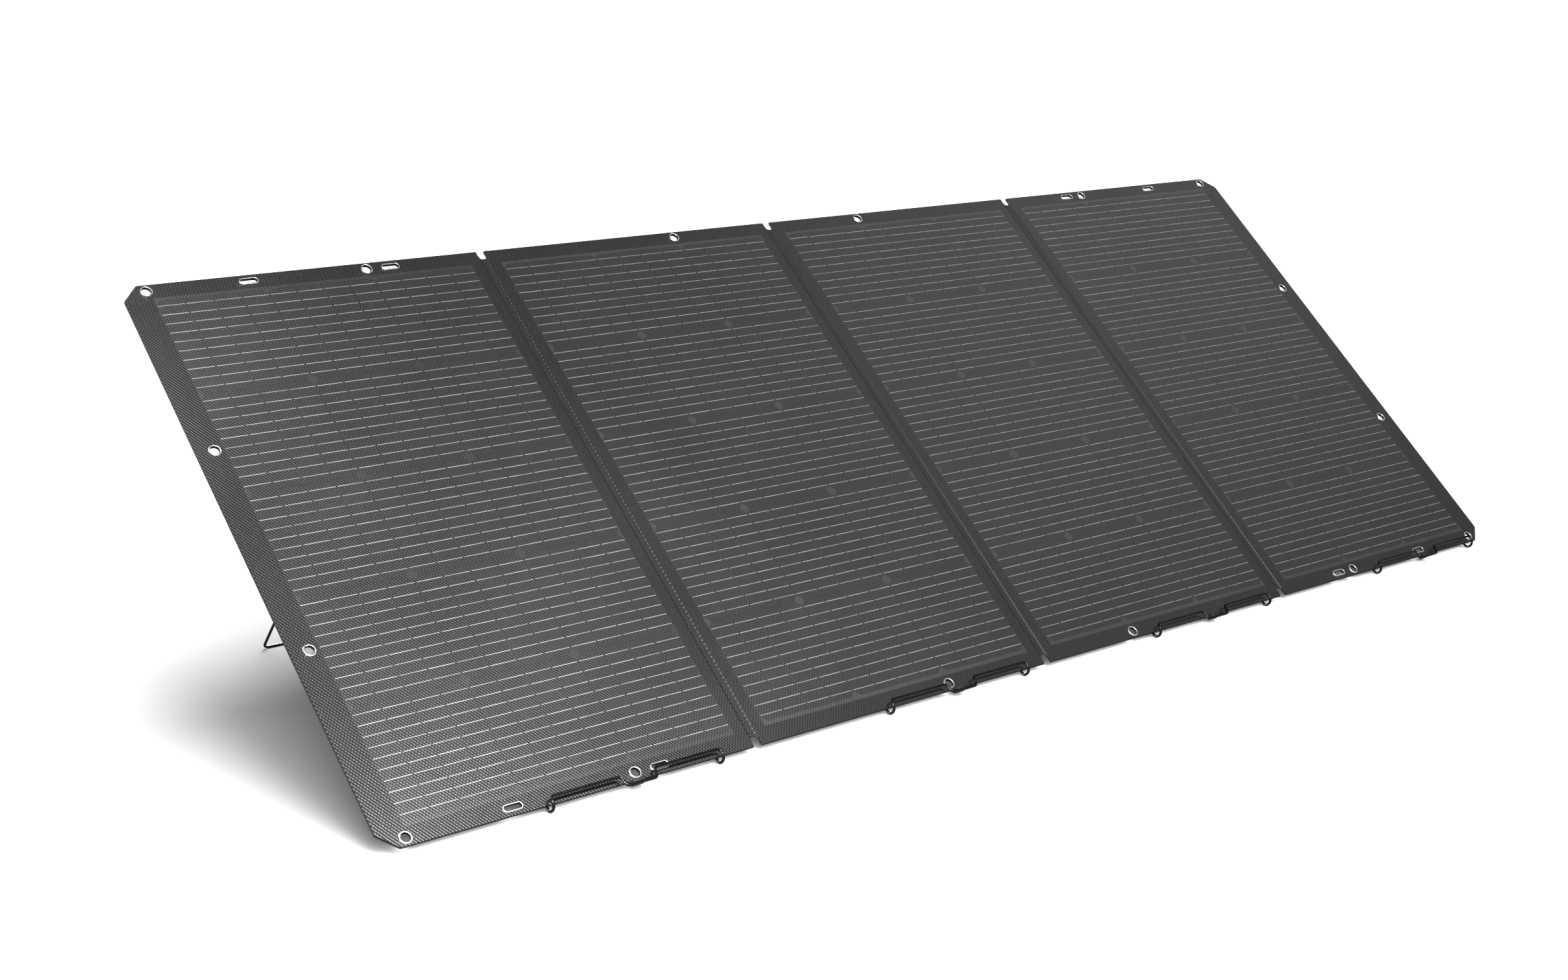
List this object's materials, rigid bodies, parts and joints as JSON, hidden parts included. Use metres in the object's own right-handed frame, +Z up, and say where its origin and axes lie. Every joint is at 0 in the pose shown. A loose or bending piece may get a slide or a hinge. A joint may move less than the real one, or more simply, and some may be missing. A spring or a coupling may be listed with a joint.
{
  "type": "solar panel",
  "caption": "Folding solar panel: stiff cell boards in a row, joined by flexible fold strips, each leaning on a bent-wire kickstand with a swinging leg.",
  "frame": {"origin": "on the ground at the middle of the footprint, with the panel set up", "axes": "+X along the row of boards to the right as seen from the front, +Y to the back, +Z up"},
  "size_m": [2.452, 0.9186, 0.6595],
  "materials": {
    "film": "satin embossed clear film over a dark board",
    "cells": "dark silicon under film",
    "board": "matt black laminate",
    "cover": "coated plain weave",
    "strip": "coated plain weave",
    "eyelet": "bright nickel plate",
    "wire": "satin dark brown-black coat",
    "block": "matt",
    "box": "fine texture",
    "lead": "satin jacket",
    "pouch": "coated plain weave with a zip"
  },
  "bodies": {
    "panel_1": {"front_film_1": "film", "cell_layer_1": "cells", "board_1": "board", "back_cover_1": "cover", "stand_frame_1": "wire", "edge_block_1": "block", "round_eyelet_01": "eyelet", "round_eyelet_02": "eyelet", "round_eyelet_03": "eyelet", "round_eyelet_04": "eyelet", "round_eyelet_05": "eyelet", "round_eyelet_06": "eyelet", "oval_eyelet_01": "eyelet", "oval_eyelet_02": "eyelet", "oval_eyelet_03": "eyelet", "oval_eyelet_04": "eyelet"},
    "panel_2": {"front_film_2": "film", "cell_layer_2": "cells", "board_2": "board", "back_cover_2": "cover", "stand_frame_2": "wire", "edge_block_2": "block", "round_eyelet_07": "eyelet", "round_eyelet_08": "eyelet", "fold_strip_left": "strip", "fold_strip_centre": "strip"},
    "panel_3": {"front_film_3": "film", "cell_layer_3": "cells", "board_3": "board", "back_cover_3": "cover", "stand_frame_3": "wire", "edge_block_3": "block", "round_eyelet_09": "eyelet", "round_eyelet_10": "eyelet", "fold_strip_right": "strip"},
    "panel_4": {"front_film_4": "film", "cell_layer_4": "cells", "board_4": "board", "back_cover_4": "cover", "stand_frame_4": "wire", "edge_block_4": "block", "round_eyelet_11": "eyelet", "round_eyelet_12": "eyelet", "round_eyelet_13": "eyelet", "round_eyelet_14": "eyelet", "round_eyelet_15": "eyelet", "round_eyelet_16": "eyelet", "oval_eyelet_05": "eyelet", "oval_eyelet_06": "eyelet", "oval_eyelet_07": "eyelet", "oval_eyelet_08": "eyelet", "junction_box": "box", "junction_box_lid": "box", "output_lead": "lead", "output_plug": "box", "cable_pouch": "pouch"},
    "leg_1": {"stand_leg_1": "wire"},
    "leg_2": {"stand_leg_2": "wire"},
    "leg_3": {"stand_leg_3": "wire"},
    "leg_4": {"stand_leg_4": "wire"}
  },
  "joints": [
    {"name": "fold_left", "type": "hinge", "parent": "panel_2", "child": "panel_1", "pos_m": [-0.605, -0.44144, 0.00999], "axis": [0, -0.7536, -0.6574], "range_deg": [-160, 0]},
    {"name": "fold_centre", "type": "hinge", "parent": "panel_2", "child": "panel_3", "pos_m": [0, -0.44144, 0.00999], "axis": [0, -0.7536, -0.6574], "range_deg": [0, 160]},
    {"name": "fold_right", "type": "hinge", "parent": "panel_3", "child": "panel_4", "pos_m": [0.605, -0.44144, 0.00999], "axis": [0, 0.7536, 0.6574], "range_deg": [-160, 0]},
    {"name": "leg_1_swing", "type": "hinge", "parent": "panel_1", "child": "leg_1", "pos_m": [-0.8245, 0.07694, 0.44561], "axis": [-1, 0, 0], "range_deg": [0, 90]},
    {"name": "leg_2_swing", "type": "hinge", "parent": "panel_2", "child": "leg_2", "pos_m": [-0.2028, 0.07694, 0.44561], "axis": [-1, 0, 0], "range_deg": [0, 90]},
    {"name": "leg_3_swing", "type": "hinge", "parent": "panel_3", "child": "leg_3", "pos_m": [0.407, 0.07694, 0.44561], "axis": [-1, 0, 0], "range_deg": [0, 90]},
    {"name": "leg_4_swing", "type": "hinge", "parent": "panel_4", "child": "leg_4", "pos_m": [1.0235, 0.07694, 0.44561], "axis": [-1, 0, 0], "range_deg": [0, 90]}
  ]
}
